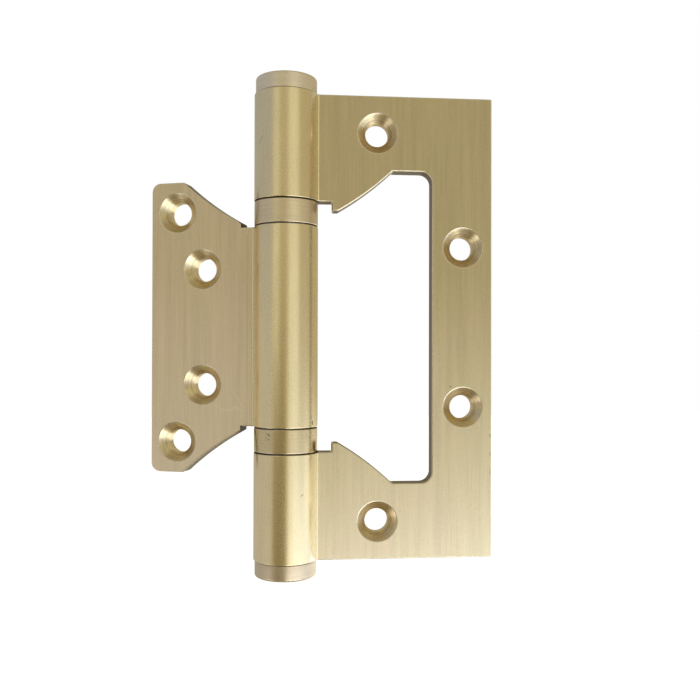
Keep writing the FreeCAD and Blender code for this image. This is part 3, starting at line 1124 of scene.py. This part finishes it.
@dataclass
class Plates:
    """Sizes of both leaves' plates, as distances from the pin and from the middle."""

    layout: Layout
    middle_end: float = 21.85 * MM
    bearing_gap: float = 5.5 * MM
    window_reach: float = 32.1 * MM
    window_top: float = 34.3 * MM
    window_corner: float = 2.4 * MM
    outer_corner: float = 0.35 * MM
    notch_width: float = 3.1 * MM
    horn_tip_width: float = 1.2 * MM
    horn_tip_height: float = 25.38 * MM
    horn_reach: float = 23.23 * MM
    horn_radius: float = 64.0 * MM
    side_clearance: float = 1.1 * MM
    end_clearance: float = 1.9 * MM
    curve_clearance: float = 1.45 * MM
    step_clearance: float = 0.4 * MM
    inner_corner: float = 2.0 * MM

    @property
    def notch(self) -> float:
        """Distance from the pin to the far side of the notch."""
        return self.layout.knuckle + self.notch_width

    @property
    def horn_centre(self) -> Vector:
        """Works out the horn curve from its two ends and its radius.

        Returns:
            The curve's centre.
        """
        tip = Vector((self.notch + self.horn_tip_width, self.horn_tip_height))
        end = Vector((self.horn_reach, self.window_top))
        chord = end - tip
        depth = math.sqrt(self.horn_radius ** 2 - chord.length_squared / 4)
        return (tip + end) / 2 + Vector((-chord.y, chord.x)).normalized() * depth

    def outer_outline(self, root: float) -> Outline:
        """The upper half of the outer leaf's plate, with its half of the window.

        Args:
            root: Distance from the pin at which the plate starts.

        Returns:
            The outline.
        """
        start = self.middle_end + self.bearing_gap
        window_in = self.window_reach - self.window_corner
        window_up = self.window_top - self.window_corner
        width = self.layout.outer_width
        height = self.layout.half_height
        path = Outline(root, start)
        path.to(self.notch, start)
        path.to(self.notch, self.horn_tip_height)
        path.to(self.notch + self.horn_tip_width, self.horn_tip_height)
        path.arc(tuple(self.horn_centre), self.horn_reach, self.window_top, False,
                 CURVE_STEP)
        path.to(window_in, self.window_top)
        path.arc((window_in, window_up), self.window_reach, window_up, True, CORNER_STEP)
        path.to(self.window_reach, 0)
        path.to(width, 0)
        path.to(width, height - self.outer_corner)
        path.arc((width - self.outer_corner, height - self.outer_corner),
                 width - self.outer_corner, height, False, SMALL_STEP)
        path.to(root, height)
        return path

    def inner_outline(self, root: float) -> Outline:
        """The upper half of the inner leaf's plate: the window less its clearances.

        Args:
            root: Distance from the pin at which the plate starts.

        Returns:
            The outline.
        """
        reach = self.window_reach - self.side_clearance
        top = self.window_top - self.end_clearance
        step = self.notch - self.step_clearance
        radius = self.horn_radius + self.curve_clearance
        centre = self.horn_centre
        step_up = centre.y - math.sqrt(radius ** 2 - (step - centre.x) ** 2)
        curve_end = centre.x + math.sqrt(radius ** 2 - (centre.y - top) ** 2)
        path = Outline(root, 0)
        path.to(reach, 0)
        path.to(reach, top - self.inner_corner)
        path.arc((reach - self.inner_corner, top - self.inner_corner),
                 reach - self.inner_corner, top, False, CORNER_STEP)
        path.to(curve_end, top)
        path.arc(tuple(centre), step, step_up, True, CURVE_STEP)
        path.to(step, self.middle_end)
        path.to(root, self.middle_end)
        return path

    def holes(self, names: tuple, direction: Vector) -> ScrewHoles:
        """The countersunk holes that the record's mounts give.

        Args:
            names: Names of the leaf's screw mounts.
            direction: The way the leaf points from the pin.

        Returns:
            The holes, each pair above and below the middle.
        """
        places = []
        for name in names:
            stated = mount(name)
            across = (Vector(stated["pos_m"]) - self.layout.axis).dot(direction)
            spacing = stated["dims"].get("spacing_y_mm") or stated["dims"]["pcd_mm"]
            places += [(across, spacing / 2 * MM), (across, -spacing / 2 * MM)]
        return ScrewHoles(places, stated["dims"]["hole_r_mm"] * MM)


@dataclass
class TurnedPiece:
    """A cap or a collar, turned about the pin axis."""

    node: str
    body: str
    material: Material
    seat_material: Material
    edge_round: float
    seat_round: float
    edge_segments: int = 4
    steps: int = 128

    def is_seat(self, height: float, slope: float) -> bool:
        """True for a surface that lies on a neighbour.

        Args:
            height: Height of the surface's middle above the hinge's middle.
            slope: Upward part of its normal.

        Returns:
            True where it is dark with grease.
        """
        raise NotImplementedError

    def profile(self) -> list:
        """Radius and height of each corner of the section."""
        raise NotImplementedError

    def build(self, axis: Vector) -> Object:
        """Turns the piece, rounds its edges and lets it stand for its node.

        Args:
            axis: A point of the pin axis.

        Returns:
            The piece in its place.
        """
        shape = bmesh.new()
        corners = self.profile()
        points = [(axis.x + radius, axis.y, height) for radius, height in corners]
        ring = min(radius for radius, _ in corners) > MERGE
        spin(shape, points, axis, Vector(UP), self.steps, ring)
        crest = max(abs(height) for _, height in corners)
        edges = sharp_edges(shape)
        crests = [edge for edge in edges if abs(edge.verts[0].co.z) > crest - MERGE]
        others = [edge for edge in edges if edge not in crests]
        for chosen, reach in ((crests, self.edge_round), (others, self.seat_round)):
            round_off(shape, chosen, reach, self.edge_segments, False)
        for face in shape.faces:
            seat = self.is_seat(face.calc_center_median().z, face.normal.z)
            face.material_index = Ring.SEAT if seat else Ring.TURNED
        piece = finished_object(self.node + "_turned", shape)
        piece.data.materials.append(self.material)
        piece.data.materials.append(self.seat_material)
        soften(piece)
        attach(piece, self.body)
        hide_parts(self.node)
        return piece


@dataclass
class Cap(TurnedPiece):
    """A button with a spigot in the end of a knuckle."""

    seat: float = 50.8 * MM
    seat_margin: float = 0.06 * MM
    spigot: float = 2.98 * MM

    def is_seat(self, height: float, slope: float) -> bool:
        """True for the underside of the head and all that lies below it."""
        return abs(height) < self.seat + self.seat_margin

    def profile(self) -> list:
        """The section, from the top's middle down to the spigot's end.

        Returns:
            Radius and height of each corner.
        """
        low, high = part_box(self.node)
        radius = (high.x - low.x) / 2
        side = 1 if high.z > 0 else -1
        top, end = (high.z, low.z) if side > 0 else (low.z, high.z)
        return [(0.0, top), (radius, top), (radius, side * self.seat),
                (self.spigot, side * self.seat), (self.spigot, end), (0.0, end)]


@dataclass
class Collar(TurnedPiece):
    """The ring round a bearing."""

    wall: float = 0.55 * MM
    end_slope: float = 0.6

    def is_seat(self, height: float, slope: float) -> bool:
        """True for the ends, with the darker half of their rounded edges."""
        return abs(slope) > self.end_slope

    def profile(self) -> list:
        """The section of the ring.

        Returns:
            Radius and height of each corner.
        """
        low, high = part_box(self.node)
        radius = (high.x - low.x) / 2
        return [(radius - self.wall, low.z), (radius, low.z), (radius, high.z),
                (radius - self.wall, high.z)]


@dataclass
class InnerParts:
    """The steel and brass parts inside the knuckles, which keep their frame meshes."""

    pin: Material
    race: Material
    ball: Material
    cage: Material

    def dress(self) -> int:
        """Gives every such node its material.

        Returns:
            How many nodes there are.
        """
        kinds = {"hinge_pin": self.pin, "race": self.race, "ball_": self.ball, "cage": self.cage}
        count = 0
        for name, node in frame["nodes"].items():
            for word, material in kinds.items():
                if word in name:
                    node.data.materials.clear()
                    node.data.materials.append(material)
                    count += 1
        return count


class Hinge:
    """The whole hinge: two leaves, two caps, two collars and what they hold."""

    def __init__(self, layout: Layout) -> None:
        """Prepares the sizes, and the finishes that several pieces share.

        Args:
            layout: The hinge's layout.
        """
        self.layout = layout
        self.plates = Plates(layout)
        self.rim = BareBrass("burnished_rim", (0.80, 0.70, 0.48), roughness=0.30,
                             grain=0.6 * MM, depth=0.004 * MM).build()
        self.wall = BareBrass("sheared_wall", (0.24, 0.205, 0.15), roughness=0.5,
                              grain=0.3 * MM, depth=0.02 * MM).build()
        self.seat = SeatGrime("seat_grime").build()

    def _leaf(self, name: str, side: Side, turn: float, heights: tuple,
              outline: Callable[[float], Outline], face: BrushedBrass, marks: tuple) -> None:
        """Builds, places and dresses a leaf.

        Args:
            name: Name of the leaf.
            side: Side of the pin on which it lies before it is folded.
            turn: How far it is turned about the pin.
            heights: Where its knuckle starts and ends, above the middle.
            outline: Gives the outline of its plate, for the distance at which it starts.
            face: The finish of its plate.
            marks: The marks on its knuckles.
        """
        turned = Matrix.Rotation(turn, 3, "Z")
        way = turned @ Vector((side, 0, 0))
        knuckle = Knuckle(self.layout.knuckle, self.layout.plate, *heights)
        holes = self.plates.holes((name + "_end_screws", name + "_middle_screws"), way)
        leaf = Leaf(name, self.layout, side, knuckle, outline(knuckle.root), holes)
        sink = ReamedBrass("reamed_" + name, turned @ Vector((0, -1, 0))).build()
        roll = RolledBrass("rolled_" + name, way, marks=marks).build()
        piece = leaf.build()
        leaf.place(piece, turn)
        leaf.seat(piece, (face.build(), self.rim, self.wall, sink, self.seat, roll))
        report(piece)

    def leaves(self) -> None:
        """Builds both leaves, each with its own brushed finish."""
        plates = self.plates
        # The second colour of each plate is painted light: the paler colour of its lower part
        face = BrushedBrass("brushed_outer_leaf", (0.64, 0.53, 0.285), (1.0, 0.87, 0.56),
                            painted_light_height=-50 * MM, marks=OUTER_PLATE_MARKS)
        heights = (plates.middle_end + plates.bearing_gap, self.layout.half_height)
        self._leaf("outer_leaf", Side.RIGHT, 0.0, heights, plates.outer_outline, face,
                   OUTER_ROLL_MARKS)
        face = BrushedBrass("brushed_inner_leaf", (0.79, 0.64, 0.39), (1.0, 0.86, 0.60),
                            painted_light_height=-32 * MM, marks=INNER_PLATE_MARKS,
                            scratches=INNER_SCRATCHES)
        self._leaf("inner_leaf", Side.LEFT, -self.layout.fold, (0.0, plates.middle_end),
                   plates.inner_outline, face, INNER_ROLL_MARKS)

    def turned(self) -> None:
        """Builds the caps and the collars, each with its own turned finish."""
        top = TurnedBrass("top_cap_brass", (0.85, 0.73, 0.51), marks=TOP_CAP_MARKS)
        bottom = TurnedBrass("bottom_cap_brass", (0.68, 0.55, 0.36), roughness=0.36,
                             marks=BOTTOM_CAP_MARKS)
        upper = TurnedBrass("upper_collar_brass", (0.80, 0.66, 0.41), roughness=0.36, stains=0.4)
        lower = TurnedBrass("lower_collar_brass", (0.73, 0.59, 0.33), roughness=0.25, stains=0.5,
                            marks=COLLAR_MARKS)
        for kind, name, body, brass, edge_round, seat_round in (
            (Cap, "top_cap", "outer_leaf", top, 0.45 * MM, 0.10 * MM),
            (Cap, "bottom_cap", "outer_leaf", bottom, 0.55 * MM, 0.16 * MM),
            (Collar, "upper_bearing_collar", "inner_leaf", upper, 0.22 * MM, 0.22 * MM),
            (Collar, "lower_bearing_collar", "outer_leaf", lower, 0.22 * MM, 0.22 * MM),
        ):
            piece = kind(name, body, brass.build(), self.seat, edge_round, seat_round)
            report(piece.build(self.layout.axis))

    def inside(self) -> None:
        """Dresses the parts inside the knuckles."""
        cage = BareBrass("cage_brass", (0.6, 0.5, 0.3), roughness=0.35, grain=0.5 * MM,
                         depth=0.01 * MM)
        parts = InnerParts(pin=Steel("pin_steel", tone=0.6, roughness=0.3).build(),
                           race=Steel("race_steel", tone=0.5, roughness=0.25).build(),
                           ball=Steel("ball_steel", tone=0.7, roughness=0.08).build(),
                           cage=cage.build())
        log.info("inner parts dressed: %d", parts.dress())

    def build(self) -> None:
        """Builds and dresses every piece, and reports each one."""
        self.leaves()
        self.turned()
        self.inside()


def report(piece: Object) -> None:
    """Logs a piece's name and how many faces it has."""
    log.info("%s: %d faces", piece.name, len(piece.data.polygons))


@dataclass(frozen=True)
class Patch:
    """A paler or darker part of the room, between two angles each way, in degrees."""

    azimuth: tuple
    elevation: tuple
    soft: float
    colour: tuple


class Room(Nodes):
    """The room as the brass mirrors it: one plain colour, with patches over it."""

    PLAIN = (0.48, 0.44, 0.33)
    PATCHES = (
        Patch((-150, -49), (-90, 90), 5, (0.42, 0.44, 0.51)),
        Patch((-150, -50), (-90, 6), 5, (0.54, 0.54, 0.56)),
        Patch((-48, -23), (-90, 90), 7, (0.65, 0.635, 0.57)),
        Patch((-47, -24), (-4, 9), 6, (0.87, 0.85, 0.75)),
        Patch((-22, 5), (-90, 90), 7, (0.50, 0.465, 0.37)),
        Patch((-21, 5), (-90, 5), 6, (0.45, 0.385, 0.275)),
        Patch((7, 44), (-90, 90), 7, (0.74, 0.73, 0.63)),
        Patch((10, 45), (-90, 6), 7, (0.85, 0.87, 0.87)),
        Patch((54, 90), (-90, 4), 8, (0.50, 0.47, 0.44)),
        Patch((50, 110), (-90, -5), 6, (0.66, 0.65, 0.64)),
        Patch((-47, 0), (-90, -1), 5, (0.265, 0.22, 0.125)),
        Patch((17, 130), (-90, -7), 6, (0.92, 0.96, 1.00)),
        Patch((70, 160), (-90, -6.5), 2.5, (1.36, 1.40, 1.42)),
        Patch((28, 112), (-90, -12), 6, (1.15, 1.34, 1.80)),
        Patch((75, 120), (-60, -30), 8, (0.86, 0.86, 0.88)),
        Patch((-120, -75), (-60, -30), 8, (0.60, 0.60, 0.60)),
        Patch((8, 76), (-56, -19), 3, (1.8, 1.9, 2.2)),
        Patch((5, 72), (-54, -24), 3, (2.3, 2.4, 2.7)),
        Patch((4, 36), (-50, -29), 4, (3.0, 3.1, 3.4)),
        Patch((-84, -56), (-50, -27), 5, (1.6, 1.6, 1.7)),
        Patch((-180, 180), (-90, -57), 5, (0.36, 0.33, 0.28)),
        Patch((-180, 180), (50, 90), 8, (0.40, 0.36, 0.27)),
    )

    def within(self, angle: Socket, span: tuple, soft: float) -> Socket:
        """Tells how far an angle lies inside a span.

        Args:
            angle: The angle's socket.
            span: The span's two ends.
            soft: How far the ends fade to each side.

        Returns:
            The socket of a share from 0 to 1.
        """
        half = (span[1] - span[0]) / 2
        away = self.math("ABSOLUTE", self.math("SUBTRACT", angle, (span[0] + span[1]) / 2))
        return self.spread(away, (half - soft, half + soft), (1.0, 0.0), "SMOOTHSTEP")

    def colour(self, direction: Socket) -> Socket:
        """The room's colour in a direction.

        Args:
            direction: A socket with a vector from the hinge, of any length.

        Returns:
            The colour's socket.
        """
        unit = self.vector("NORMALIZE", direction)
        parts = self.add("SeparateXYZ", {"Vector": unit}).outputs
        ahead = self.math("MULTIPLY", parts["Y"], -1.0)
        turn = self.math("ARCTAN2", parts["X"], ahead)
        turn = self.math("MULTIPLY", turn, math.degrees(1))
        rise = self.math("MULTIPLY", self.math("ARCSINE", parts["Z"]), math.degrees(1))
        colour = shade(self.PLAIN)
        for patch in self.PATCHES:
            share = self.math("MULTIPLY", self.within(turn, patch.azimuth, patch.soft),
                              self.within(rise, patch.elevation, patch.soft))
            colour = self.mix(share, colour, shade(patch.colour))
        return colour


@dataclass
class Studio:
    """Camera, floor and the room all round, which is the only light."""

    image: float = 700.0
    focal: float = 828.5
    sensor: float = 36.0
    eye: tuple = (-2.10 * MM, -182.40 * MM, -6.45 * MM)
    yaw: float = 5.085
    pitch: float = 0.440
    roll: float = 0.125
    floor_drop: float = 400 * MM
    floor_reach: float = 6.0
    floor_white: float = 0.78
    floor_colour: tuple = (0.8, 0.8, 0.79)
    floor_roughness: float = 0.9

    def camera(self, axis: Vector) -> None:
        """Sets the camera at the photograph's viewing angle.

        Args:
            axis: A point of the pin axis, from which the eye is measured.
        """
        turn = Matrix.Identity(4)
        for degrees, way in ((-self.yaw, "Z"), (90 + self.pitch, "X"), (self.roll, "Z")):
            turn = turn @ Matrix.Rotation(math.radians(degrees), 4, way)
        data = bpy.data.cameras.new("photograph")
        data.sensor_width = self.sensor
        data.lens = self.focal / self.image * self.sensor
        data.clip_start = MM
        camera = bpy.data.objects.new("photograph", data)
        camera.matrix_world = Matrix.Translation(axis + Vector(self.eye)) @ turn
        bpy.context.scene.collection.objects.link(camera)
        bpy.context.scene.camera = camera

    def world(self) -> None:
        """The room all round the hinge, which the camera sees as white."""
        world = bpy.data.worlds.new("room")
        bpy.context.scene.world = world
        world.use_nodes = True
        room = Room(world.node_tree)
        light = world.node_tree.nodes["Background"]
        around = room.add("TexCoord").outputs["Generated"]
        room.join(room.colour(around), light.inputs["Color"])
        white = room.add("Background", {"Color": shade((1, 1, 1))})
        seen = room.add("LightPath").outputs["Is Camera Ray"]
        mix = room.add("MixShader", {0: seen, 1: light.outputs[0], 2: white.outputs[0]})
        room.join(mix.outputs[0], world.node_tree.nodes["World Output"].inputs["Surface"])

    def floor(self, axis: Vector) -> None:
        """A pale floor below the hinge, white to the camera, which the brass sees as the room.

        Args:
            axis: A point of the pin axis, from which the room is seen.
        """
        shape = bmesh.new()
        bmesh.ops.create_grid(shape, x_segments=1, y_segments=1, size=self.floor_reach)
        below = (0, 0, CAD_BOX[0].z - self.floor_drop)
        bmesh.ops.translate(shape, vec=below, verts=shape.verts[:])
        floor = finished_object("floor", shape)
        graph = Graph("pale_floor")
        graph.shader.inputs["Base Color"].default_value = shade(self.floor_colour)
        graph.shader.inputs["Roughness"].default_value = self.floor_roughness
        rays = graph.add("LightPath").outputs
        glow = graph.math("MULTIPLY", rays["Is Camera Ray"], self.floor_white)
        white = graph.add("Emission", {"Strength": glow}).outputs[0]
        plain = graph.add("AddShader", {0: graph.shader.outputs[0], 1: white}).outputs[0]
        around = graph.vector("SUBTRACT", graph.coordinates, tuple(axis))
        room = graph.add("Emission", {"Color": Room(graph.tree).colour(around)}).outputs[0]
        choice = graph.add("MixShader", {0: rays["Is Glossy Ray"], 1: plain, 2: room}).outputs[0]
        graph.join(choice, graph.tree.nodes["Material Output"].inputs["Surface"])
        graph.material.cycles.emission_sampling = "NONE"
        floor.data.materials.append(graph.material)

    def build(self, layout: Layout) -> None:
        """Sets the camera, the light and the background.

        Args:
            layout: The hinge's layout.
        """
        bpy.context.scene.view_settings.view_transform = "Standard"
        self.camera(layout.axis)
        self.world()
        self.floor(layout.axis)


def main() -> None:
    """Builds the hinge and its studio."""
    logging.basicConfig(level=logging.INFO, format="%(name)s: %(message)s")
    layout = Layout.read()
    Hinge(layout).build()
    Studio().build(layout)


if __name__ == "__main__":
    main()
